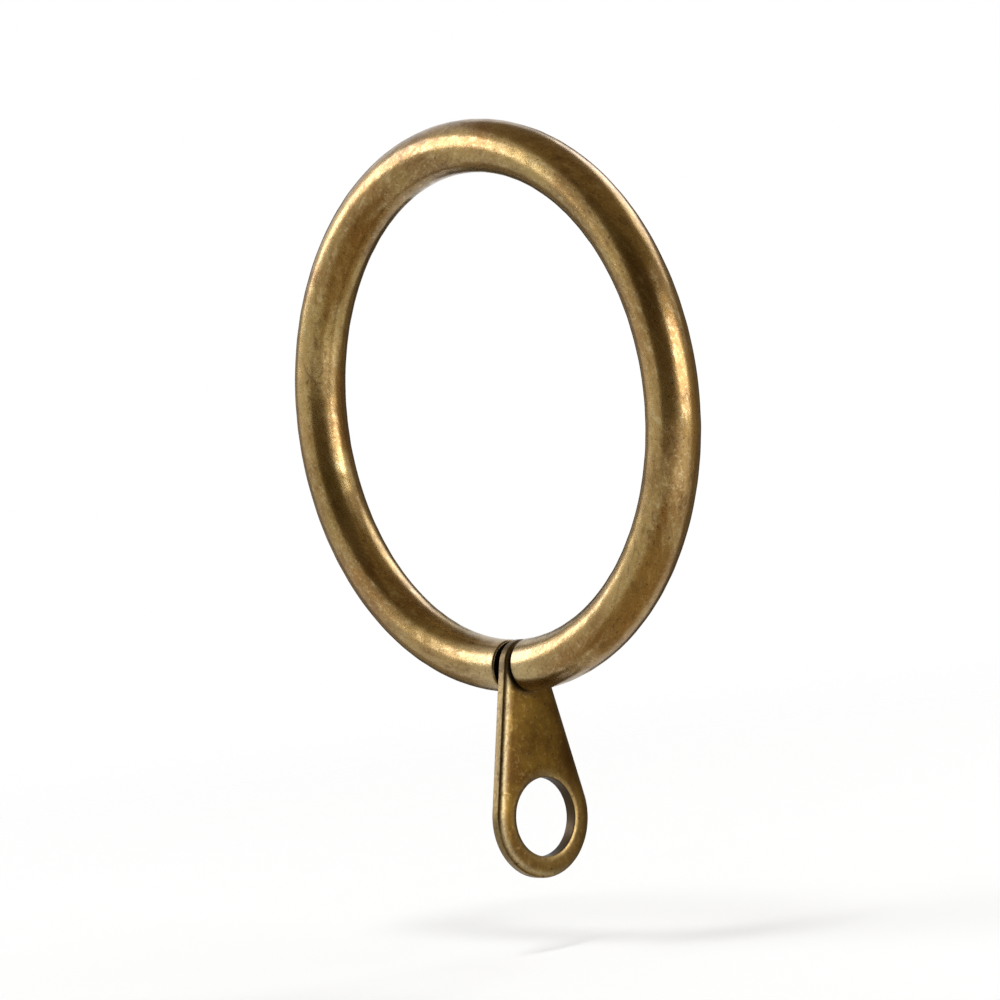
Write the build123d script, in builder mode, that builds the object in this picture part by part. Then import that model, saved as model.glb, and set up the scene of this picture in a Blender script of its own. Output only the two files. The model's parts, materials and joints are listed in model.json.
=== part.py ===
from build123d import *
import math
import os

# Curtain ring with a swinging eyelet.
# A round bar is bent into a ring whose two ends stop short of each other at the bottom.
# A flat teardrop eyelet stands in that gap and swings on a short pin seated in both ends.
# Millimetres. The origin is the ring's centre, +X runs straight through its opening,
# +Y along the pin, and +Z is up.

# Ring
ring_inner_diameter = 38.0
bar_diameter = 4.3
end_rim_chamfer = 0.2

# Pivot pin
pin_diameter = 2.0
pin_seat_depth = 3.0  # how far the pin goes into each end of the ring
pin_end_chamfer = 0.2

# Eyelet
eyelet_thickness = 1.2
eyelet_reach = 12.4  # from the pin to the middle of the hook hole
hook_hole_diameter = 6.4
foot_rim_width = 1.75  # metal round the hook hole
head_rim_width = 1.1  # metal round the pin
rolled_edge_radius = 0.4  # front edge of the outline, drawn in by the stamping
back_edge_chamfer = 0.2
hook_hole_chamfer = 0.25

# Fits
pin_seat_room = 0.3  # left free behind each end of the pin
pivot_clearance = 0.05  # all round the pin, in the eyelet's head
front_clearance = 0.1  # between the eyelet and the front end of the ring
back_clearance = 0.55  # between the eyelet and the back end of the ring

# Sizes that follow from these
bar_radius = bar_diameter / 2
pin_radius = pin_diameter / 2
hook_hole_radius = hook_hole_diameter / 2
pivot_hole_radius = pin_radius + pivot_clearance
head_radius = pivot_hole_radius + head_rim_width
foot_radius = hook_hole_radius + foot_rim_width
flank_angle = math.degrees(math.asin((foot_radius - head_radius) / eyelet_reach))
largest_edge = 0.45 * eyelet_thickness  # keeps the plate's front and back edges apart

# The ends are cut square to the bar, so the gap is tightest at the ring's inside.
inner_radius = ring_inner_diameter / 2
centre_radius = inner_radius + bar_radius
half_tight_gap = (front_clearance + eyelet_thickness + back_clearance) / 2
half_gap_angle = math.degrees(math.atan(half_tight_gap / inner_radius))
half_middle_gap = half_tight_gap * centre_radius / inner_radius
half_pin_length = half_middle_gap + pin_seat_depth

# Both planes look along -Y, so a sketch's x and y are the part's X and Z.
pin_plane = Plane.XZ
eyelet_plane = Plane.XZ.offset((back_clearance - front_clearance) / 2)
pin_centre = (0, -centre_radius)
hole_centre = (0, -centre_radius - eyelet_reach)

os.makedirs("parts", exist_ok=True)

# The ring is a round section turned about X from one end to the other.
with BuildPart() as ring:
    with BuildSketch(pin_plane.rotated((half_gap_angle, 0, 0))) as bar_section:
        with Locations(pin_centre):
            Circle(bar_radius)
    revolve(axis=Axis.X, revolution_arc=360 - 2 * half_gap_angle)
    end_faces = ring.faces().filter_by(GeomType.PLANE)
    chamfer(end_faces.edges(), end_rim_chamfer)
    with BuildSketch(pin_plane) as pin_seats:
        with Locations(pin_centre):
            Circle(pin_radius)
    extrude(amount=half_pin_length + pin_seat_room, both=True, mode=Mode.SUBTRACT)

# The pin is straight, with a small chamfer at each end.
with BuildPart() as pivot_pin:
    with BuildSketch(pin_plane) as pin_section:
        with Locations(pin_centre):
            Circle(pin_radius)
    extrude(amount=half_pin_length, both=True)
    chamfer(pivot_pin.edges().filter_by(GeomType.CIRCLE), pin_end_chamfer)

# The eyelet's outline is a small and a large circle joined by their common tangents.
with BuildPart() as eyelet:
    with BuildSketch(eyelet_plane) as eyelet_outline:
        with BuildLine():
            head_arc = CenterArc(pin_centre, head_radius, flank_angle, 180 - 2 * flank_angle)
            foot_arc = CenterArc(hole_centre, foot_radius, 180 - flank_angle, 180 + 2 * flank_angle)
            Line(head_arc @ 1, foot_arc @ 0)
            Line(foot_arc @ 1, head_arc @ 0)
        make_face()
    extrude(amount=eyelet_thickness / 2, both=True)
    front_face = eyelet.faces().sort_by(Axis.Y).first
    fillet(front_face.edges(), min(rolled_edge_radius, largest_edge))
    back_face = eyelet.faces().sort_by(Axis.Y).last
    chamfer(back_face.edges(), min(back_edge_chamfer, largest_edge))
    with BuildSketch(eyelet_plane) as pivot_hole:
        with Locations(pin_centre):
            Circle(pivot_hole_radius)
    extrude(amount=eyelet_thickness / 2, both=True, mode=Mode.SUBTRACT)
    with BuildSketch(eyelet_plane) as hook_hole:
        with Locations(hole_centre):
            Circle(hook_hole_radius)
    extrude(amount=eyelet_thickness / 2, both=True, mode=Mode.SUBTRACT)
    hook_hole_edges = eyelet.edges(Select.LAST).filter_by(GeomType.CIRCLE)
    chamfer(hook_hole_edges, min(hook_hole_chamfer, largest_edge))

ring.part.label = "ring"
pivot_pin.part.label = "pivot_pin"
eyelet.part.label = "eyelet"
export_step(ring.part, "parts/ring.step")
export_step(pivot_pin.part, "parts/pivot_pin.step")
export_step(eyelet.part, "parts/eyelet.step")
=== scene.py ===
# %% [markdown]
# # A curtain ring with a swinging eyelet
# On the real object a length of round bar is bent until its two ends almost meet. A flat teardrop
# eyelet stands in the gap between the ends and swings there on a short pin. All of it is finished in
# antique brass: gold metal under a thin brown skin, rubbed back where hands and tumbling reach it.
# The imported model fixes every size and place. This lesson keeps them, and gives each piece the soft
# edges and the finish that it has in the hand.

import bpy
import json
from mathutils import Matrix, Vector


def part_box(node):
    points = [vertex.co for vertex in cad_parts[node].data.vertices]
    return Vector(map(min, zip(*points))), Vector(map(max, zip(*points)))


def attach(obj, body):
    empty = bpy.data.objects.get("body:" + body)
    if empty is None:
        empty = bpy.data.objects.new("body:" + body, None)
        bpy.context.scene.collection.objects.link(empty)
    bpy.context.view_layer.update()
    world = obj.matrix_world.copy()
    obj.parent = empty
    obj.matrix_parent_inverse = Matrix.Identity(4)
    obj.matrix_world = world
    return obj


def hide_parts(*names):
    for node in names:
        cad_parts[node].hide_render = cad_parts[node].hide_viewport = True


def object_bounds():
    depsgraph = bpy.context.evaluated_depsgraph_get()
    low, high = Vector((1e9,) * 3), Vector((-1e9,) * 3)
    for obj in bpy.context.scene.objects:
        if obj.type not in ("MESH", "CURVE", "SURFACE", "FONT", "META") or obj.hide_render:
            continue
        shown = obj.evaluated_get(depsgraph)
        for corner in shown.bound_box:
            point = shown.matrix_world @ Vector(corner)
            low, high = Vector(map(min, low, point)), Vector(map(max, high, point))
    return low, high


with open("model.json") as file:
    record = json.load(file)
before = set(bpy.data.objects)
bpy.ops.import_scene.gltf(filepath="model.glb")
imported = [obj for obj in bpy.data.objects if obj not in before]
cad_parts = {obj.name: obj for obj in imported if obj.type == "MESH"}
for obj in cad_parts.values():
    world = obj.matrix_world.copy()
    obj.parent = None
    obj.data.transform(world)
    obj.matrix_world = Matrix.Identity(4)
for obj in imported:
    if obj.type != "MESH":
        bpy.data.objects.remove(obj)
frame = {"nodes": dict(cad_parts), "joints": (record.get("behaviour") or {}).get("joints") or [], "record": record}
cad_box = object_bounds()
print("packed nodes:", ", ".join(sorted(frame["nodes"])))

# %% Tools for the lesson
import json

import bmesh
import bpy
import numpy as np
from mathutils import Quaternion, Vector

MM = 0.001
PER_MM = 1000.0
print("Blender", bpy.app.version_string)

# %% [markdown]
# ## Sizes
# A looks model that is measured again by eye drifts away from the part that it dresses. So each size
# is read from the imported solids: a box gives radii and thicknesses, the joint gives the pin's place,
# and the mount gives the hook hole. Only the small sizes that no box shows, such as edges and
# clearances, are written out, each in the step that first needs it.

# %% Sizes of the bar, the pin and the eyelet
_, ring_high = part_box("ring")
_, pin_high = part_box("pivot_pin")
eyelet_low, eyelet_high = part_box("eyelet")
mounts = {mount["name"]: mount for mount in frame["record"]["mounts"]}

bar_radius = ring_high.x
centre_radius = ring_high.z - bar_radius
pin_radius = pin_high.x
half_pin_length = pin_high.y
pin_height = frame["joints"][0]["pos_m"][2]
eyelet_front = eyelet_low.y
eyelet_back = eyelet_high.y
foot_radius = eyelet_high.x
head_radius = eyelet_high.z - pin_height
hole_height = eyelet_low.z + foot_radius
eyelet_reach = pin_height - hole_height
hook_hole_radius = mounts["hook_hole"]["dims"]["r_mm"] * MM
print(f"eyelet {2 * foot_radius / MM:.2f} mm wide, {(eyelet_back - eyelet_front) / MM:.2f} mm thick,",
      f"{eyelet_reach / MM:.2f} mm from pin to hook hole")

# %% The gap between the ring's ends
# The ends are cut on planes through the ring's axis, so the nearest point of the solid to the bottom,
# measured as an angle about that axis, lies on an end.
ring_mesh = frame["nodes"]["ring"].data
ring_points = np.empty(3 * len(ring_mesh.vertices))
ring_mesh.vertices.foreach_get("co", ring_points)
ring_points = ring_points.reshape(-1, 3)
half_gap_angle = np.arctan2(np.abs(ring_points[:, 1]), -ring_points[:, 2]).min()
ring_inside = 2 * (centre_radius - bar_radius)
print(f"bar {2 * bar_radius / MM:.2f} mm thick, ring {ring_inside / MM:.2f} mm inside,",
      f"gap {2 * np.degrees(half_gap_angle):.2f} degrees")

# %% [markdown]
# ## Grids of points
# Each piece is a surface that two numbers run over, such as the way along the bar and the way round it.
# Working the points out as whole numpy arrays keeps the formula in sight, which a long list of mesh
# edits would hide. One function then sews such grids into a closed mesh, with the welds done by Blender.

# %% Sewing grids into one mesh
WELD_DISTANCE = 1e-7
SHARP_EDGE = np.radians(50)


def grid_cells(rows, columns):
    """Corner numbers of each cell: a point, its neighbour in the row, and both in the next row."""
    index = np.arange(rows * columns).reshape(rows, columns)
    corners = [index[:-1, :-1], index[:-1, 1:], index[1:, 1:], index[1:, :-1]]
    return np.stack(corners, axis=-1).reshape(-1, 4)


def sew(name, patches):
    """One closed mesh object from patches, each a pair of a grid of points and its marks.

    A mark is a number or a vector for every point, kept as a named attribute for the finishes.
    Points that coincide are welded, which closes seams and poles, and faces are turned outwards.
    """
    starts = np.cumsum([0] + [points.shape[0] * points.shape[1] for points, _ in patches])
    corners = [grid_cells(*points.shape[:2]) + start for (points, _), start in zip(patches, starts)]
    points = np.concatenate([points.reshape(-1, 3) for points, _ in patches])
    mesh = bpy.data.meshes.new(name)
    mesh.from_pydata(points.tolist(), [], np.concatenate(corners).tolist())
    for mark, first in patches[0][1].items():
        vector = first.ndim == 3
        values = np.concatenate([marks[mark].reshape(-1) for _, marks in patches])
        layer = mesh.attributes.new(mark, "FLOAT_VECTOR" if vector else "FLOAT", "POINT")
        layer.data.foreach_set("vector" if vector else "value", values.astype(np.float32))
    sewn = bmesh.new()
    sewn.from_mesh(mesh)
    bmesh.ops.remove_doubles(sewn, verts=sewn.verts, dist=WELD_DISTANCE)
    bmesh.ops.dissolve_degenerate(sewn, edges=sewn.edges, dist=WELD_DISTANCE)
    bmesh.ops.recalc_face_normals(sewn, faces=sewn.faces)
    open_edges = sum(not edge.is_manifold for edge in sewn.edges)
    volume = sewn.calc_volume(signed=True)
    sewn.to_mesh(mesh)
    sewn.free()
    mesh.polygons.foreach_set("use_smooth", np.ones(len(mesh.polygons), dtype=bool))
    mesh.set_sharp_from_angle(angle=SHARP_EDGE)
    piece = bpy.data.objects.new(name, mesh)
    bpy.context.scene.collection.objects.link(piece)
    print(f"{name}: {len(mesh.polygons)} faces, {open_edges} open edges, {volume / MM ** 3:.1f} cubic mm")
    return piece


print("a grid of 3 by 4 points has", len(grid_cells(3, 4)), "cells")


# %% Two curves for rounding and fading
def quarter(steps):
    """Sine and cosine over a quarter turn, for rounding an edge from one face to the next."""
    angle = np.linspace(0, np.pi / 2, steps)
    return np.sin(angle), np.cos(angle)


def bell(distance, width):
    """A bell curve, exp(-(distance / width)^2): 1 on its line, and about a third of that one width away."""
    return np.exp(-((distance / width) ** 2))


print(f"a bell curve one width away: {bell(1.0, 1.0):.2f}")

# %% [markdown]
# ## The ring
# The real ring starts as straight drawn bar. It is bent round a former, cut square, and the cut rims
# are rubbed soft. Then each end is drilled for the pin. A torus primitive would have no ends, and a
# bevelled curve no drilled seats, so one circle is carried round the ring and on over each rim, across
# the cut face and down into the seat. Bending also leaves faint waves, which make a highlight wander.

# %% The bar, from end to end
BAR_ROWS = 560
TURN_COLUMNS = 112
WAVE_HEIGHT = 0.003 * MM
# Each wave has its count along the ring, its count round the bar, and the angle where it starts.
WAVES = ((23, 1, 0.4), (37, 2, 1.9), (58, -1, 3.1), (71, 3, 5.0))
end_rim_radius = 0.2 * MM
turn = np.linspace(0, 2 * np.pi, TURN_COLUMNS + 1)[None, :]


def bar_surface(angle, section_radius):
    """A circle of the section's radius, carried at the centre radius about the X axis.

    The angle starts at the bottom and runs towards +Y. The turn starts at the ring's outside.
    """
    reach = centre_radius + section_radius * np.cos(turn)
    across = section_radius * np.sin(turn)
    return np.stack([across, reach * np.sin(angle), -reach * np.cos(angle)], axis=-1)


def bending_waves(angle):
    """Small sine waves, each with its own count along the bar and round it, that die out at the ends."""
    calm = np.clip((angle - half_gap_angle) * (2 * np.pi - half_gap_angle - angle), 0, 1)
    height = sum(np.sin(along * angle + around * turn + start) for along, around, start in WAVES)
    return WAVE_HEIGHT * calm * height


first_angle = half_gap_angle + end_rim_radius / centre_radius
bar_angle = np.linspace(first_angle, 2 * np.pi - first_angle, BAR_ROWS)[:, None]
bar_points = bar_surface(bar_angle, bar_radius + bending_waves(bar_angle))
print("bar grid", bar_points.shape)

# %% The cut ends and the pin's seats
RIM_ROWS = 9
FACE_ROWS = 9
SEAT_ROWS = 12
pin_seat_room = 0.3 * MM
seat_depth = half_pin_length + pin_seat_room


def bar_end():
    """Rows from the bar over the rim, across the cut face, down the seat's wall and over its floor.

    The rim is a quarter circle. The face runs straight from the rim to the seat's mouth, which lies
    on the cut plane. The wall runs along Y from the mouth to the floor, which closes in a point.
    """
    rim_sine, rim_cosine = quarter(RIM_ROWS)
    rim_angle = half_gap_angle + end_rim_radius * (1 - rim_sine[1:]) / centre_radius
    rim_section = bar_radius - end_rim_radius * (1 - rim_cosine[1:])
    rim = bar_surface(rim_angle[:, None], rim_section[:, None])
    seat_across = pin_radius * np.sin(turn)
    seat_height = pin_height - pin_radius * np.cos(turn)
    mouth = np.stack([seat_across, -seat_height * np.tan(half_gap_angle), seat_height], axis=-1)
    floor = np.stack([seat_across, np.full_like(turn, seat_depth), seat_height], axis=-1)
    middle = np.broadcast_to(np.array([0, seat_depth, pin_height]), floor.shape)
    share = np.linspace(0, 1, FACE_ROWS)[1:, None, None]
    depth = np.linspace(0, 1, SEAT_ROWS)[1:, None, None]
    face = rim[-1:] + (mouth - rim[-1:]) * share
    wall = mouth + (floor - mouth) * depth
    return np.concatenate([rim, face, wall, middle])


end_points = bar_end()
ring_grid = np.concatenate([end_points[::-1], bar_points, end_points * (1, -1, 1)])
print("ring grid", ring_grid.shape)

# %% Where the finish lies on the bar
# Straight marks run along the bar. Rubbing marks wind round it, so their coordinates are turned
# about the bar's middle line in step with the way along it, and no seam shows anywhere.
RUB_ANGLE = np.radians(16)
END_RUB_LENGTH = 3.0 * MM
FACE_FADE = 0.4 * MM
# How dark the painted shade on the rims of the ends is.
RIM_GAP_SHADE = 0.8


def bar_marks(points):
    """Unbends the bar: the way along it, then outwards and sideways from its middle line.

    Two more marks fade away from the ends: the rubbing there, and painted shade on the cut faces, their rims and
    the seats, deep in the narrow gap.
    """
    across, depth, height = np.moveaxis(points, -1, 0)
    angle = np.arctan2(depth, -height) % (2 * np.pi)
    along = centre_radius * angle
    outward = np.hypot(depth, height) - centre_radius
    twist = along * np.tan(RUB_ANGLE) / bar_radius
    turned_out = outward * np.cos(twist) + across * np.sin(twist)
    turned_side = across * np.cos(twist) - outward * np.sin(twist)
    from_end = centre_radius * (np.minimum(angle, 2 * np.pi - angle) - half_gap_angle)
    below_rim = bar_radius - end_rim_radius - np.hypot(outward, across)
    inside = np.clip(below_rim / FACE_FADE, 0, 1)
    return {
        "along_bar": np.stack([along, outward, across], axis=-1),
        "round_bar": np.stack([along, turned_out, turned_side], axis=-1),
        "rubbed_end": bell(from_end, END_RUB_LENGTH),
        # Painted shade: the cut faces, the seats and the rims round them are darkened the way the narrow gap
        # shades them.
        "end_gap_shade": np.maximum(inside, RIM_GAP_SHADE * bell(from_end, end_rim_radius)),
    }


curtain_ring = sew("curtain_ring", [(ring_grid, bar_marks(ring_grid))])

# %% [markdown]
# ## The eyelet
# The real eyelet is stamped from flat plate. The punch drags the front edge of the outline down into a
# wide smooth roll, leaves the back edge short and crisp, and crowns the front face a little. The hook
# hole is dressed on both sides so that it won't cut a hook. Extruding an outline and bevelling it would
# round every edge alike. Here the edge's own section is carried round the outline, and the faces are
# spanned from each hole to the outline.

# %% The teardrop outline
FOOT_POINTS = 150
HEAD_POINTS = 70
FLANK_POINTS = 26
DIVIDE_SHARE = 0.36
flank_angle = np.arcsin((foot_radius - head_radius) / eyelet_reach)


def arc(centre_height, radius, start, end, count):
    """Points of a circular arc in the plate's plane, as across and height."""
    angle = np.linspace(start, end, count)
    return np.stack([radius * np.cos(angle), centre_height + radius * np.sin(angle)], axis=-1)


def run(start, end, count):
    """Points of a straight run between two points."""
    share = np.linspace(0, 1, count)[:, None]
    return start + (end - start) * share


def teardrop(inset):
    """A small and a large circle with their common tangents, all drawn in by the inset.

    It comes back in two parts, below and above the line that divides the hook hole from the pin.
    """
    head = arc(pin_height, head_radius - inset, np.pi - flank_angle, flank_angle, HEAD_POINTS)
    foot = arc(hole_height, foot_radius - inset, flank_angle, -np.pi - flank_angle, FOOT_POINTS)
    right_divide = head[-1] + (foot[0] - head[-1]) * DIVIDE_SHARE
    left_divide = head[0] + (foot[-1] - head[0]) * DIVIDE_SHARE
    down_right = run(right_divide, foot[0], FLANK_POINTS)[:-1]
    up_left = run(foot[-1], left_divide, FLANK_POINTS)[1:]
    on_up_left = run(left_divide, head[0], FLANK_POINTS)[:-1]
    on_down_right = run(head[-1], right_divide, FLANK_POINTS)[1:]
    below = np.concatenate([down_right, foot, up_left])
    above = np.concatenate([on_up_left, head, on_down_right])
    return below, above


print(f"flanks lean by {np.degrees(flank_angle):.1f} degrees, outline of",
      sum(len(part) for part in teardrop(0)), "points")

# %% The stamped edge
EDGE_STEPS = 16
rolled_edge_width = 0.9 * MM
rolled_edge_depth = 0.4 * MM
back_edge_radius = 0.2 * MM


def in_plate(flat, depth):
    """Lifts points of the plate's plane to their depth along Y."""
    across, height = np.moveaxis(flat, -1, 0)
    return np.stack([across, np.broadcast_to(depth, across.shape), height], axis=-1)


def stamped_wall(front_width, front_depth, back_radius):
    """The section of a stamped edge, front to back: how far it stands in from the wall, and its depth.

    The front is a quarter of an ellipse of this width and depth, and the back a quarter of a circle.
    """
    sine, cosine = quarter(EDGE_STEPS)
    inset = np.concatenate([front_width * (1 - sine), back_radius * (1 - cosine)])
    front = eyelet_front + front_depth * (1 - cosine)
    back = eyelet_back - back_radius * (1 - sine)
    return inset, np.concatenate([front, back])


def edge_band():
    """The stamped edge's section, carried round the whole outline."""
    inset, depth = stamped_wall(rolled_edge_width, rolled_edge_depth, back_edge_radius)
    outlines = [np.concatenate([below, above[1:]]) for below, above in map(teardrop, inset)]
    return in_plate(np.stack(outlines), depth[:, None])


edge_grid = edge_band()
print("edge grid", edge_grid.shape)

# %% The faces and the holes
# The plate's two parts, in the order in which its outline and its curves come back.
FOOT = 0
HEAD = 1
SPAN_ROWS = 15
DIVIDE_POINTS = 41
hook_rim_width = 0.45 * MM
hook_rim_depth = 0.15 * MM
hook_rim_back_radius = 0.15 * MM
pivot_clearance = 0.05 * MM
pivot_rim_radius = 0.06 * MM


def face_curves(inset):
    """The closed curves round the hook hole and round the pin, which share the dividing line."""
    below, above = teardrop(inset)
    divide = run(below[-1], below[0], DIVIDE_POINTS)
    return np.concatenate([below, divide[1:]]), np.concatenate([above, divide[::-1][1:]])


def rim_round(curve, centre_height, radius):
    """Points of a hole's rim, one on the spoke to each point of the curve round the hole."""
    spoke = curve - (0, centre_height)
    return (0, centre_height) + radius * spoke / np.linalg.norm(spoke, axis=-1, keepdims=True)


def hole_and_faces(part, centre_height, radius, rim_width, rim_depth, back_radius):
    """A hole's wall, carried round its spokes, and the front and back faces from its rims outwards."""
    spokes = face_curves(0)[part]
    inset, depth = stamped_wall(rim_width, rim_depth, back_radius)
    wall = in_plate(rim_round(spokes, centre_height, radius + inset[:, None, None]), depth[:, None])
    front_rim = rim_round(spokes, centre_height, radius + rim_width)
    back_rim = rim_round(spokes, centre_height, radius + back_radius)
    share = np.linspace(0, 1, SPAN_ROWS)[:, None, None]
    front = in_plate(front_rim + (face_curves(rolled_edge_width)[part] - front_rim) * share, eyelet_front)
    back = in_plate(back_rim + (face_curves(back_edge_radius)[part] - back_rim) * share, eyelet_back)
    return [wall, front, back]


hook_rim = (hook_rim_width, hook_rim_depth, hook_rim_back_radius)
pivot_rim = (pivot_rim_radius, pivot_rim_radius, pivot_rim_radius)
foot_grids = hole_and_faces(FOOT, hole_height, hook_hole_radius, *hook_rim)
head_grids = hole_and_faces(HEAD, pin_height, pin_radius + pivot_clearance, *pivot_rim)
flat_grids = [edge_grid] + foot_grids + head_grids
print("eyelet grids", [grid.shape[:2] for grid in flat_grids])

# %% The crown of the front face
# The press leaves the face a little crowned: flat in the middle and lower towards the outline.
CROWN_DROP = 0.16 * MM
CROWN_WIDTH = 3.2 * MM


def inside_teardrop(across, height):
    """How far a point lies inside the outline: from the foot's circle, the head's, or a flank."""
    above_hole = height - hole_height
    from_flank = foot_radius - np.cos(flank_angle) * np.abs(across) - np.sin(flank_angle) * above_hole
    along_flank = np.cos(flank_angle) * above_hole - np.sin(flank_angle) * np.abs(across)
    from_foot = foot_radius - np.hypot(across, above_hole)
    from_head = head_radius - np.hypot(across, height - pin_height)
    beyond_head = along_flank > eyelet_reach * np.cos(flank_angle)
    return np.where(along_flank < 0, from_foot, np.where(beyond_head, from_head, from_flank))


def towards_front(depth):
    """1 on the plate's front plane, falling evenly to 0 on its back plane."""
    return (eyelet_back - depth) / (eyelet_back - eyelet_front)


def crowned(points):
    """Lowers the front by a parabola of the way in from the outline, which levels out at the crown's width.

    The drop shrinks evenly through the plate, to nothing at the back.
    """
    across, depth, height = np.moveaxis(points, -1, 0)
    inward = np.clip(inside_teardrop(across, height) / CROWN_WIDTH, 0, 1)
    drop = CROWN_DROP * (1 - inward) ** 2 * towards_front(depth)
    return np.stack([across, depth + drop, height], axis=-1)


eyelet_grids = [crowned(grid) for grid in flat_grids]
print(f"front face lowered by up to {CROWN_DROP / MM:.2f} mm at its edge")

# %% Wear on the eyelet's edges, and painted light and shade on the roll's two sides
# The roll's place, spread and depth are shares of its own width and depth.
ROLL_PLACE = 0.3
ROLL_SPREAD = 0.25
ROLL_DEPTH = 1.2
ROLL_RUB = 0.25
# How much paler the roll is painted on its -X side, and darker on its +X side, as light and shade.
ROLL_SIDE_LIGHT = 0.13
SIDE_FADE = 1.5 * MM
WALL_RUB = 0.18
WALL_WIDTH = 0.05 * MM
RIM_RUB = 0.10
RIM_WIDTH = 0.25 * MM


def from_hook_hole(across, height):
    """How far a point lies outside the hook hole's wall."""
    return np.hypot(across, height - hole_height) - hook_hole_radius


def edge_wear_and_side_light(across, depth, height):
    """Wear on the front roll, on the sheared wall and on the hook hole's rims, with painted light and shade on the
    roll.

    Each is a bell curve of the distance from its line. The roll is painted paler on the -X side and darker on the
    +X side as light and shade, not wear.
    """
    from_outline = inside_teardrop(across, height)
    from_front = (depth - eyelet_front) / rolled_edge_depth
    roll = bell(from_outline / rolled_edge_width - ROLL_PLACE, ROLL_SPREAD) * bell(from_front, ROLL_DEPTH)
    # Painted light and shade: the roll is made paler on the -X side and darker on the +X side.
    roll *= ROLL_RUB - ROLL_SIDE_LIGHT * np.tanh(across / SIDE_FADE)
    wall = WALL_RUB * bell(from_outline, WALL_WIDTH)
    from_face = np.minimum(depth - eyelet_front, eyelet_back - depth)
    from_rim = from_hook_hole(across, height) + from_face - hook_rim_width / 2
    rim = RIM_RUB * bell(from_rim, RIM_WIDTH)
    return np.maximum(roll, np.maximum(wall, rim))


edge_wear_and_light = edge_wear_and_side_light(*np.moveaxis(eyelet_grids[0], -1, 0))
print(f"edge rubbed by up to {edge_wear_and_light.max():.2f}")

# %% Where the hook rubs the eyelet, and where tarnish and painted shade darken it
# The hook's pull is an angle up from +X, so it points down here. The flank's dark patch, partly tarnish and
# partly painted shade, is measured in from the outline, and up from the hook hole's middle.
HOOK_RUB = 0.36
HOOK_RUB_TOWARDS = np.radians(-50)
# The flank's dark patch is partly tarnish and partly painted shade on that side.
TARNISH_AND_SHADE = 0.7
TARNISH_AND_SHADE_INSET = 0.9 * MM
TARNISH_AND_SHADE_WIDTH = 0.9 * MM
TARNISH_AND_SHADE_RISE = 4.6 * MM
TARNISH_AND_SHADE_LENGTH = 2.2 * MM
# Painted shade on the hook hole's wall and in the gap round the pin.
BORE_SHADE = 0.9
HEAD_GAP_SHADE = 0.75
GAP_REACH = 2.7 * MM
GAP_FADE = 0.8 * MM


def hook_rub(across, height):
    """Strongest beside the hook hole on the side of the pull, fading round the hole and away from it."""
    off_pull = np.arctan2(height - hole_height, across) - HOOK_RUB_TOWARDS
    pulled = ((1 + np.cos(off_pull)) / 2) ** 2
    return HOOK_RUB * pulled * bell(from_hook_hole(across, height), foot_radius - hook_hole_radius)


def tarnish_and_shade(across, depth, height):
    """One dark patch on the front of the +X flank, partly tarnish and partly painted shade: a bell curve in from
    the outline and one along it.
    """
    off_line = inside_teardrop(across, height) - TARNISH_AND_SHADE_INSET
    off_middle = height - hole_height - TARNISH_AND_SHADE_RISE
    patch = bell(off_line, TARNISH_AND_SHADE_WIDTH) * bell(off_middle, TARNISH_AND_SHADE_LENGTH)
    return TARNISH_AND_SHADE * patch * np.clip(towards_front(depth), 0, 1) * (across > 0)


def gap_and_bore_shade(across, height):
    """Painted shade on the hook hole's wall, and round the pin, where the head turns in the gap."""
    bore = BORE_SHADE * bell(from_hook_hole(across, height), WALL_WIDTH)
    gap = HEAD_GAP_SHADE * np.clip((GAP_REACH - np.hypot(across, height - pin_height)) / GAP_FADE, 0, 1)
    return np.maximum(gap, bore)


def eyelet_marks(points):
    """The four marks at every point of a grid: edge wear with painted side light, the hook's rub, tarnish with
    painted shade on a flank, and painted shade in the gap and the hook hole.
    """
    across, depth, height = np.moveaxis(points, -1, 0)
    return {
        "edge_wear_and_side_light": edge_wear_and_side_light(across, depth, height),
        "hook_rub": hook_rub(across, height),
        "tarnish_and_shade": tarnish_and_shade(across, depth, height),
        "gap_and_bore_shade": gap_and_bore_shade(across, height),
    }


hook_eyelet = sew("hook_eyelet", [(grid, eyelet_marks(grid)) for grid in eyelet_grids])

# %% [markdown]
# ## The pin
# On the real object the pin is plain turned wire with its ends rounded a little. Less than a millimetre
# of it shows, deep in the gap, and the rest is hidden in the eyelet and in its seats. A cylinder primitive
# would have hard ends, so a short profile is turned about the pin's own axis.

# %% The swivel pin
PIN_ROWS = 30
PIN_END_ROWS = 6
pin_end_radius = 0.2 * MM


def turned_pin():
    """A half profile of radius and way along Y, turned about the line through the pin's middle."""
    sine, cosine = quarter(PIN_END_ROWS)
    end_radius = np.concatenate([[0], pin_radius - pin_end_radius * (1 - sine)])
    end_along = np.concatenate([[0], pin_end_radius * (1 - cosine)]) - half_pin_length
    straight = np.linspace(end_along[-1], -end_along[-1], PIN_ROWS)[1:-1]
    radius = np.concatenate([end_radius, np.full_like(straight, pin_radius), end_radius[::-1]])[:, None]
    along = np.concatenate([end_along, straight, -end_along[::-1]])[:, None]
    across = radius * np.sin(turn)
    height = pin_height + radius * np.cos(turn)
    return np.stack([across, np.broadcast_to(along, across.shape), height], axis=-1)


swivel_pin = sew("swivel_pin", [(turned_pin(), {})])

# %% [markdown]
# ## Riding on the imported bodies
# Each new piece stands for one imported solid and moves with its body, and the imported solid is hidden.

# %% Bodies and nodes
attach(curtain_ring, "ring")
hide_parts("ring")
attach(swivel_pin, "ring")
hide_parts("pivot_pin")
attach(hook_eyelet, "eyelet")
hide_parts("eyelet")

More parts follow.
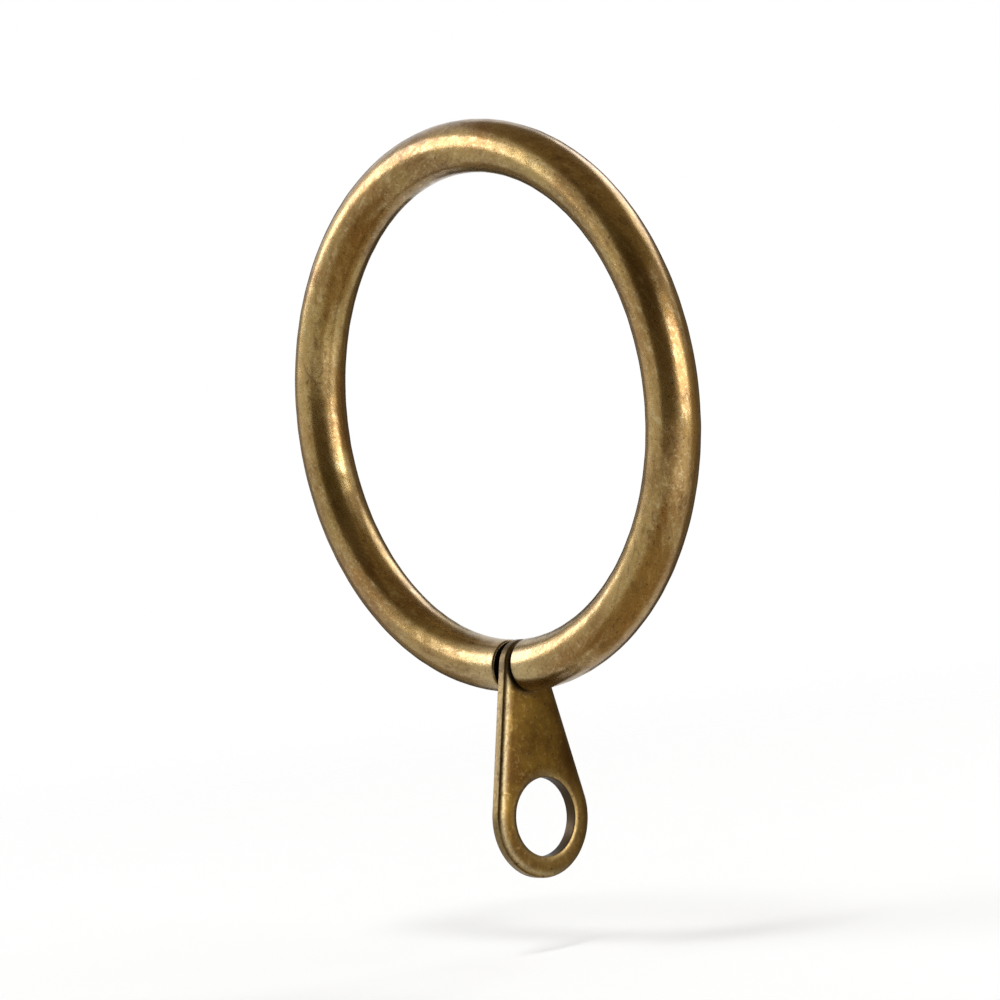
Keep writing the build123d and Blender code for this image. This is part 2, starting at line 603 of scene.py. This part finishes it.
# %% [markdown]
# ## Writing a finish with nodes
# A finish is a small net of nodes. Built by hand, each node takes several lines, and the recipe is lost
# among them. A few helpers keep it readable: one adds a node and joins its inputs, one reads a mark, one
# makes noise of a stated grain, one picks a band out of a noise, and one lays a colour over another.

# %% Helpers for the finishes
# A Mix node has sockets for numbers, vectors and colours under the same names, so these go by number.
MIX_SHARE = 0
MIX_UNDER = 6
MIX_OVER = 7
MIX_RESULT = 2


def add(tree, kind, inputs=None, **settings):
    """Adds a node. An input is a plain value, or another node's output, which is then joined to it."""
    node = tree.nodes.new(kind)
    for key, value in settings.items():
        setattr(node, key, value)
    for key, value in (inputs or {}).items():
        if isinstance(value, bpy.types.NodeSocket):
            tree.links.new(value, node.inputs[key])
        else:
            node.inputs[key].default_value = value
    return node


def read_mark(tree, name, output="Fac"):
    """A mark that was sewn into the mesh under this name."""
    return add(tree, "ShaderNodeAttribute", attribute_name=name).outputs[output]


def grain(tree, place, per_mm, detail=3.0, roughness=0.55, stretch=(1, 1, 1), shift=(0, 0, 0), swirl=0.0):
    """Noise with about this many lumps a millimetre. A stretch under 1 draws it out along that axis."""
    scale = [PER_MM * per_mm * part for part in stretch]
    mapped = add(tree, "ShaderNodeMapping", {"Vector": place, "Scale": scale, "Location": shift})
    inputs = {"Vector": mapped.outputs["Vector"], "Scale": 1.0, "Detail": detail, "Roughness": roughness}
    return add(tree, "ShaderNodeTexNoise", inputs | {"Distortion": swirl}).outputs["Fac"]


def band(tree, value, start, end, bottom=0.0, top=1.0):
    """Goes smoothly from bottom to top as the value goes from start to end, up or down."""
    inputs = {"Value": value, "From Min": start, "From Max": end, "To Min": bottom, "To Max": top}
    return add(tree, "ShaderNodeMapRange", inputs, interpolation_type="SMOOTHSTEP").outputs["Result"]


def sums(tree, operation, first, second):
    """One sum on two numbers."""
    return add(tree, "ShaderNodeMath", {0: first, 1: second}, operation=operation).outputs[0]


def lay(tree, share, under, over):
    """Lays the over colour on the under colour, by the share from 0 to 1."""
    inputs = {MIX_SHARE: share, MIX_UNDER: under, MIX_OVER: over}
    return add(tree, "ShaderNodeMix", inputs, data_type="RGBA").outputs[MIX_RESULT]


def new_finish(name):
    """An empty metal finish: the material, its node tree and its shader."""
    material = bpy.data.materials.new(name)
    material.use_nodes = True
    shader = material.node_tree.nodes["Principled BSDF"]
    shader.inputs["Metallic"].default_value = 1.0
    return material, material.node_tree, shader


print("helpers ready")

# %% [markdown]
# ## Antique brass on the bar
# The maker darkens the brass in a bath, tumbles it and lacquers it. What is left is a gold ground with
# brown clouds, orange and olive patches, rub lines that wind round the bar, and a fine sparkle of worn
# grains. The ends are handled most and are paler, and their cut faces, deep in the narrow gap, are painted
# black as shade. A single brass colour with one noise looks like plastic, so each of these is laid on as its
# own layer, at its own scale.

# %% The bar's finish
# Soot brown serves the pits, and it is also the colour of the painted shade in the gap and on the hook hole's
# wall.
SOOT_AND_SHADE = (0.030, 0.018, 0.008, 1)
UMBER = (0.084, 0.038, 0.008, 1)
BROWN = (0.188, 0.103, 0.025, 1)
BRASS = (0.325, 0.212, 0.068, 1)
ORANGE = (0.250, 0.122, 0.028, 1)
OLIVE = (0.245, 0.165, 0.040, 1)
PALE = (0.500, 0.400, 0.208, 1)
END_RUB = 0.35
# How dark the painted shade on the cut faces and seats is.
END_GAP_SHADE_DARKNESS = 0.92
MOTTLE_RELIEF = 0.7
GRAIN_RELIEF = 1.2
RUB_RELIEF = 0.25


def antique_bar():
    """Clouds, patches, mottling, rub lines, worn grains and pits, under a thin lacquer.

    The rubbed ends and the painted shade on the cut faces and seats come from the marks on the mesh.
    """
    finish, tree, shader = new_finish("antique_brass_bar")
    along = read_mark(tree, "along_bar", "Vector")
    winding = read_mark(tree, "round_bar", "Vector")
    end_rub = sums(tree, "MULTIPLY", read_mark(tree, "rubbed_end"), END_RUB)
    cut = sums(tree, "MULTIPLY", read_mark(tree, "end_gap_shade"), END_GAP_SHADE_DARKNESS)

    clouds = grain(tree, along, per_mm=0.26, detail=5, roughness=0.62, stretch=(0.55, 1, 1))
    patches = grain(tree, along, per_mm=0.22, detail=3, stretch=(0.5, 1, 1), shift=(7, 3, 1))
    mottle = grain(tree, winding, per_mm=1.5, detail=6, roughness=0.70, stretch=(0.5, 1, 1), swirl=0.4)
    rubs = grain(tree, winding, per_mm=3.0, detail=3, roughness=0.6, stretch=(0.14, 1, 1), shift=(2, 9, 4))
    grains = grain(tree, along, per_mm=3.3, detail=4, roughness=0.75)
    pits = grain(tree, along, per_mm=3.8, detail=1, shift=(5, 5, 8))

    colour = lay(tree, band(tree, clouds, start=0.33, end=0.67), BROWN, BRASS)
    colour = lay(tree, band(tree, patches, start=0.52, end=0.70, top=0.60), colour, ORANGE)
    colour = lay(tree, band(tree, patches, start=0.48, end=0.32, top=0.55), colour, OLIVE)
    colour = lay(tree, band(tree, mottle, start=0.52, end=0.70, top=0.50), colour, PALE)
    colour = lay(tree, band(tree, mottle, start=0.47, end=0.31, top=0.60), colour, UMBER)
    colour = lay(tree, band(tree, rubs, start=0.55, end=0.74, top=0.22), colour, PALE)
    colour = lay(tree, band(tree, rubs, start=0.44, end=0.28, top=0.25), colour, UMBER)
    colour = lay(tree, end_rub, colour, PALE)
    colour = lay(tree, band(tree, grains, start=0.53, end=0.70, top=0.50), colour, PALE)
    colour = lay(tree, band(tree, grains, start=0.46, end=0.30, top=0.45), colour, UMBER)
    colour = lay(tree, band(tree, pits, start=0.36, end=0.22, top=0.70), colour, UMBER)
    # Painted shade on the cut faces, rims and seats, deep in the gap.
    colour = lay(tree, cut, colour, SOOT_AND_SHADE)
    tree.links.new(colour, shader.inputs["Base Color"])

    dull_mottle = band(tree, mottle, start=0.66, end=0.34, bottom=0.19, top=0.29)
    dull_grains = band(tree, grains, start=0.35, end=0.70, bottom=0.05, top=-0.03)
    tree.links.new(sums(tree, "ADD", dull_mottle, dull_grains), shader.inputs["Roughness"])
    shader.inputs["Coat Weight"].default_value = 0.3
    shader.inputs["Coat Roughness"].default_value = 0.15

    height = sums(tree, "MULTIPLY", mottle, MOTTLE_RELIEF)
    height = sums(tree, "ADD", height, sums(tree, "MULTIPLY", grains, GRAIN_RELIEF))
    height = sums(tree, "ADD", height, sums(tree, "MULTIPLY", rubs, RUB_RELIEF))
    bump = add(tree, "ShaderNodeBump", {"Height": height, "Strength": 0.55, "Distance": 0.016 * MM})
    tree.links.new(bump.outputs["Normal"], shader.inputs["Normal"])
    return finish


curtain_ring.data.materials.append(antique_bar())
print("finish:", curtain_ring.data.materials[0].name)

# %% [markdown]
# ## Antique brass on the plate
# The eyelet comes from rolled sheet, so its faces are duller and browner than the bar, with short flecks
# where tumbling has hit them. Its rolled edge is rubbed paler, and painted paler still on one side and darker
# on the other as light and shade. The hook has rubbed the face beside its hole. One flank is darkened, partly
# by tarnish and partly by painted shade, and painted shade darkens the gap and the hole's wall. These marks
# were worked out with the shape, since a node that finds edges would be lost outside this renderer.

# %% The plate's finish
PLATE_BROWN = (0.060, 0.028, 0.003, 1)
PLATE_OLIVE = (0.104, 0.057, 0.007, 1)
TARNISH_AND_SHADE_BROWN = (0.026, 0.009, 0.001, 1)
WORN_GLOSS = 0.10
GAP_AND_BORE_DULLNESS = 0.15
FLECK_RELIEF = 0.9
SPECK_RELIEF = 0.5


def antique_plate():
    """Olive and brown clouds, flecks, specks and pits, with the four marks of the mesh laid over them."""
    finish, tree, shader = new_finish("antique_brass_plate")
    place = add(tree, "ShaderNodeTexCoord").outputs["Object"]
    # Painted shade in the gap and on the hook hole's wall, which also dulls the surface there.
    shaded_gap_and_bore = read_mark(tree, "gap_and_bore_shade")

    clouds = grain(tree, place, per_mm=0.42, detail=5, roughness=0.62, shift=(4, 0, 6))
    flecks = grain(tree, place, per_mm=2.2, detail=5, roughness=0.70, swirl=0.4)
    specks = grain(tree, place, per_mm=4.2, detail=3, roughness=0.7, shift=(3, 1, 7))
    pits = grain(tree, place, per_mm=3.0, detail=1, shift=(1, 6, 2))
    dents = grain(tree, place, per_mm=0.55, detail=2, shift=(9, 2, 2))

    broken_rub = band(tree, flecks, start=0.34, end=0.62, bottom=0.6, top=1.4)
    hook_rubbed = sums(tree, "MULTIPLY", read_mark(tree, "hook_rub"), broken_rub)
    broken_wear = band(tree, specks, start=0.30, end=0.56, bottom=0.5, top=1.4)
    # Edge wear, with painted light and shade on the roll's two sides.
    worn = sums(tree, "MULTIPLY", read_mark(tree, "edge_wear_and_side_light"), broken_wear)
    # The flank's patch: partly tarnish, partly painted shade.
    broken_tarnish_and_shade = band(tree, flecks, start=0.62, end=0.38, bottom=0.6)
    laid_tarnish_and_shade = sums(tree, "MULTIPLY", read_mark(tree, "tarnish_and_shade"), broken_tarnish_and_shade)

    colour = lay(tree, band(tree, clouds, start=0.34, end=0.66), PLATE_BROWN, PLATE_OLIVE)
    colour = lay(tree, band(tree, flecks, start=0.53, end=0.70, top=0.32), colour, BRASS)
    colour = lay(tree, band(tree, flecks, start=0.46, end=0.30, top=0.50), colour, UMBER)
    colour = lay(tree, band(tree, specks, start=0.58, end=0.76, top=0.14), colour, PALE)
    colour = lay(tree, hook_rubbed, colour, BRASS)
    colour = lay(tree, worn, colour, PALE)
    colour = lay(tree, laid_tarnish_and_shade, colour, TARNISH_AND_SHADE_BROWN)
    colour = lay(tree, band(tree, pits, start=0.36, end=0.22, top=0.70), colour, SOOT_AND_SHADE)
    # Painted shade in the gap and on the hook hole's wall.
    colour = lay(tree, shaded_gap_and_bore, colour, SOOT_AND_SHADE)
    tree.links.new(colour, shader.inputs["Base Color"])

    dull = band(tree, flecks, start=0.30, end=0.70, bottom=0.40, top=0.30)
    dull = sums(tree, "SUBTRACT", dull, sums(tree, "MULTIPLY", worn, WORN_GLOSS))
    dull = sums(tree, "ADD", dull, sums(tree, "MULTIPLY", shaded_gap_and_bore, GAP_AND_BORE_DULLNESS))
    tree.links.new(dull, shader.inputs["Roughness"])
    shader.inputs["Coat Weight"].default_value = 0.06
    shader.inputs["Coat Roughness"].default_value = 0.25

    fine = sums(tree, "MULTIPLY", flecks, FLECK_RELIEF)
    fine = sums(tree, "ADD", fine, sums(tree, "MULTIPLY", specks, SPECK_RELIEF))
    fine_bump = add(tree, "ShaderNodeBump", {"Height": fine, "Strength": 0.6, "Distance": 0.014 * MM})
    dent_bump = add(tree, "ShaderNodeBump", {"Height": dents, "Strength": 0.6, "Distance": 0.04 * MM})
    tree.links.new(fine_bump.outputs["Normal"], dent_bump.inputs["Normal"])
    tree.links.new(dent_bump.outputs["Normal"], shader.inputs["Normal"])
    return finish


hook_eyelet.data.materials.append(antique_plate())
print("finish:", hook_eyelet.data.materials[0].name)

# %% [markdown]
# ## The dark pin
# Only its seats and the eyelet's hole touch the pin, so it keeps the bath's brown skin, with faint rings
# left by the turning. One flat brown would look like paint in a close view, so noise drawn out round the
# pin gives the rings, and an even noise gives the flecks.

# %% The pin's finish
def dark_pin():
    """Brown oxide with faint rings round the pin and lighter flecks."""
    finish, tree, shader = new_finish("dark_pin")
    place = add(tree, "ShaderNodeTexCoord").outputs["Object"]
    rings = grain(tree, place, per_mm=4.0, detail=2, stretch=(0.1, 1, 0.1))
    flecks = grain(tree, place, per_mm=3.0, detail=3)
    colour = lay(tree, band(tree, flecks, start=0.45, end=0.70), UMBER, BROWN)
    dull = band(tree, rings, start=0.3, end=0.7, bottom=0.38, top=0.52)
    bump = add(tree, "ShaderNodeBump", {"Height": rings, "Strength": 0.5, "Distance": 0.01 * MM})
    tree.links.new(colour, shader.inputs["Base Color"])
    tree.links.new(dull, shader.inputs["Roughness"])
    tree.links.new(bump.outputs["Normal"], shader.inputs["Normal"])
    return finish


swivel_pin.data.materials.append(dark_pin())
print("finish:", swivel_pin.data.materials[0].name)

# %% [markdown]
# ## The studio
# Metal shows what stands round it. The white surround gives the bright sides of the bar, four soft boxes
# give the highlights, and brown boards give the deep bands between them, as in a product studio. The
# boards are seen in the metal alone. Lamps without boards would leave the ring flat gold on every side.
# One more lamp lights the floor and casts the shadow there, and the metal doesn't show it.

# %% Places in the studio
# From here on angles are degrees and lengths are metres. The lens and sensor alone are in millimetres.
VIEW_AZIMUTH = -42.0
object_middle = (cad_box[0] + cad_box[1]) / 2


def towards(azimuth, elevation):
    """A direction from the object: azimuth 0 points to -Y and 90 to +X, elevation is above the horizon."""
    around = np.radians(azimuth)
    above = np.radians(elevation)
    level = np.cos(above)
    return Vector((np.sin(around) * level, -np.cos(around) * level, np.sin(above)))


print("the studio is set round", [round(part / MM, 2) for part in object_middle], "mm")

# %% The white surround
FILL_LIGHT = 0.35
WHITE = (1, 1, 1, 1)


def white_surround():
    """White to the camera and in reflections, and a softer fill for everything else."""
    world = bpy.data.worlds.new("white_surround")
    world.use_nodes = True
    tree = world.node_tree
    tree.nodes.clear()
    path = add(tree, "ShaderNodeLightPath").outputs
    seen = sums(tree, "ADD", path["Is Camera Ray"], path["Is Glossy Ray"])
    seen = sums(tree, "MINIMUM", sums(tree, "ADD", seen, path["Is Transmission Ray"]), 1.0)
    fill = add(tree, "ShaderNodeBackground", {"Color": WHITE, "Strength": FILL_LIGHT})
    white = add(tree, "ShaderNodeBackground", {"Color": WHITE, "Strength": 1.0})
    mix = add(tree, "ShaderNodeMixShader", {0: seen, 1: fill.outputs[0], 2: white.outputs[0]})
    output = add(tree, "ShaderNodeOutputWorld")
    tree.links.new(mix.outputs[0], output.inputs["Surface"])
    return world


bpy.context.scene.world = white_surround()
print("surround:", bpy.context.scene.world.name)

# %% Soft boxes
# Four watts to a square metre make an area lamp as bright as the white surround.
WATTS_AS_WHITE = 4
LAMP_TINT = (0.97, 1.0, 1.16)
LAMP_DISTANCE = 0.5
FLOOR_LAMP_DISTANCE = 0.7


def soft_box(name, beside, elevation, width, height, brightness, distance=LAMP_DISTANCE):
    """A flat lamp, this many degrees beside the camera. Brightness 1 is the surround's white."""
    lamp = bpy.data.lights.new(name, "AREA")
    lamp.shape = "RECTANGLE"
    lamp.size = width
    lamp.size_y = height
    lamp.energy = WATTS_AS_WHITE * brightness * width * height
    lamp.color = LAMP_TINT
    box = bpy.data.objects.new(name, lamp)
    bpy.context.scene.collection.objects.link(box)
    ahead = towards(VIEW_AZIMUTH + beside, elevation)
    box.location = object_middle + distance * ahead
    box.rotation_euler = ahead.to_track_quat("Z", "Y").to_euler()
    print(f"{name}: {lamp.energy:.2f} W")
    return box


soft_box("right_box", beside=54, elevation=6.5, width=0.36, height=0.27, brightness=4.3)
soft_box("left_box", beside=-106, elevation=23, width=0.28, height=0.24, brightness=4.0)
soft_box("back_box", beside=128, elevation=40, width=0.44, height=0.20, brightness=2.2)
soft_box("low_box", beside=42, elevation=-29, width=0.60, height=0.20, brightness=0.6)
floor_lamp = soft_box("floor_lamp", beside=-20, elevation=72, width=0.16, height=0.16, brightness=12.0,
                      distance=FLOOR_LAMP_DISTANCE)
floor_lamp.visible_glossy = False
floor_lamp.visible_camera = False

# %% Brown boards
BOARD_TINT = (1.16, 0.905, 0.545, 1)
BOARD_DISTANCE = 0.66
TOP_BOARD_DISTANCE = 0.64


def brown_board(name, beside, elevation, width, height, level, distance=BOARD_DISTANCE):
    """A flat brown board of this brightness that faces the object and is seen in the metal alone."""
    ahead = towards(VIEW_AZIMUTH + beside, elevation)
    turn_to = ahead.to_track_quat("Z", "Y")
    corners = np.array([(-1, -1, 0), (1, -1, 0), (1, 1, 0), (-1, 1, 0)]) * (width / 2, height / 2, 0)
    place = object_middle + distance * ahead
    mesh = bpy.data.meshes.new(name)
    mesh.from_pydata([place + turn_to @ Vector(corner) for corner in corners], [], [(0, 1, 2, 3)])
    board = bpy.data.objects.new(name, mesh)
    bpy.context.scene.collection.objects.link(board)
    material = bpy.data.materials.new(name)
    material.use_nodes = True
    tree = material.node_tree
    tree.nodes.clear()
    glow = add(tree, "ShaderNodeEmission", {"Color": BOARD_TINT, "Strength": level})
    output = add(tree, "ShaderNodeOutputMaterial")
    tree.links.new(glow.outputs[0], output.inputs["Surface"])
    mesh.materials.append(material)
    board.visible_camera = False
    board.visible_diffuse = False
    board.visible_shadow = False
    board.visible_transmission = False


brown_board("front_board", beside=-15, elevation=21, width=1.00, height=0.90, level=0.14)
brown_board("front_low_board", beside=-42, elevation=-48, width=0.80, height=0.44, level=0.45)
brown_board("top_board", beside=60, elevation=83, width=1.24, height=1.24, level=0.28,
            distance=TOP_BOARD_DISTANCE)
brown_board("side_board", beside=95, elevation=-7, width=0.34, height=0.40, level=0.40)
brown_board("right_flag", beside=127, elevation=-6, width=0.44, height=0.80, level=0.22)
brown_board("right_edge_flag", beside=159, elevation=-4, width=0.34, height=0.86, level=0.08)
brown_board("left_flag", beside=-138, elevation=-12, width=0.26, height=0.60, level=0.30)
brown_board("left_edge_flag", beside=-163, elevation=-8, width=0.28, height=0.66, level=0.08)
brown_board("low_board", beside=50, elevation=-80, width=0.62, height=0.62, level=0.50)
print("boards hung")

# %% [markdown]
# ## The floor
# A pale floor a little below the object takes its soft shadow, so that the eye can tell where it hangs.
# A plain sheet would end in a line against the white, so this one fades out with distance, and it is
# clear from below so that the object can be looked at from there too.

# %% The pale floor
FLOOR_DROP = 6 * MM
FLOOR_REACH = 1.6
FLOOR_RINGS = 40
FLOOR_WHITE = (0.82, 0.80, 0.72, 1)
FLOOR_GLOW = 0.19
FADE_START = 0.06
FADE_END = 0.30


def pale_floor():
    """A round floor of rings that crowd towards its middle, with its fade into the surround."""
    reach = FLOOR_REACH * np.linspace(1, 0, FLOOR_RINGS)[:, None] ** 2
    across = reach * np.cos(turn)
    level = np.full_like(across, cad_box[0].z - FLOOR_DROP)
    points = np.stack([across, reach * np.sin(turn), level], axis=-1)
    mesh = bpy.data.meshes.new("pale_floor")
    mesh.from_pydata(points.reshape(-1, 3).tolist(), [], grid_cells(*points.shape[:2]).tolist())
    floor = bpy.data.objects.new("pale_floor", mesh)
    bpy.context.scene.collection.objects.link(floor)
    material = bpy.data.materials.new("pale_floor")
    material.use_nodes = True
    tree = material.node_tree
    tree.nodes.clear()
    place = add(tree, "ShaderNodeTexCoord").outputs["Object"]
    away = add(tree, "ShaderNodeVectorMath", {0: place}, operation="LENGTH").outputs["Value"]
    matt = add(tree, "ShaderNodeBsdfDiffuse", {"Color": FLOOR_WHITE})
    glow = add(tree, "ShaderNodeEmission", {"Color": WHITE, "Strength": FLOOR_GLOW})
    lit = add(tree, "ShaderNodeAddShader", {0: matt.outputs[0], 1: glow.outputs[0]})
    clear = add(tree, "ShaderNodeBsdfTransparent")
    underside = add(tree, "ShaderNodeNewGeometry").outputs["Backfacing"]
    fade = sums(tree, "MAXIMUM", band(tree, away, start=FADE_START, end=FADE_END), underside)
    mix = add(tree, "ShaderNodeMixShader", {0: fade, 1: lit.outputs[0], 2: clear.outputs[0]})
    output = add(tree, "ShaderNodeOutputMaterial")
    tree.links.new(mix.outputs[0], output.inputs["Surface"])
    mesh.materials.append(material)
    floor.visible_glossy = False
    floor.visible_shadow = False


pale_floor()
print(f"floor laid {FLOOR_DROP / MM:.0f} mm below the eyelet")

# %% [markdown]
# ## The camera
# The photograph was taken from about the height of the ring's middle, turned forty-two degrees off the
# eyelet's face, and close enough for the near side of the bar to look thicker. A camera far off would
# flatten that, so this one stands as near. The ring leans a little to the left there, so the camera is
# rolled.

# %% The camera
VIEW_ELEVATION = 1.0
VIEW_DISTANCE = 0.32
VIEW_ROLL = 7.2
LENS = 142.0
SENSOR_WIDTH = 36.0
NEAREST_SEEN = 0.01

camera_data = bpy.data.cameras.new("camera")
camera_data.lens = LENS
camera_data.sensor_width = SENSOR_WIDTH
camera_data.clip_start = NEAREST_SEEN
camera = bpy.data.objects.new("camera", camera_data)
bpy.context.scene.collection.objects.link(camera)
back = towards(VIEW_AZIMUTH, VIEW_ELEVATION)
roll = Quaternion((0, 0, 1), np.radians(-VIEW_ROLL))
camera.rotation_mode = "QUATERNION"
camera.rotation_quaternion = (-back).to_track_quat("-Z", "Y") @ roll
camera.location = object_middle + VIEW_DISTANCE * back
bpy.context.scene.camera = camera
bpy.context.scene.view_settings.view_transform = "Standard"
print("camera at", [round(part, 4) for part in camera.location])
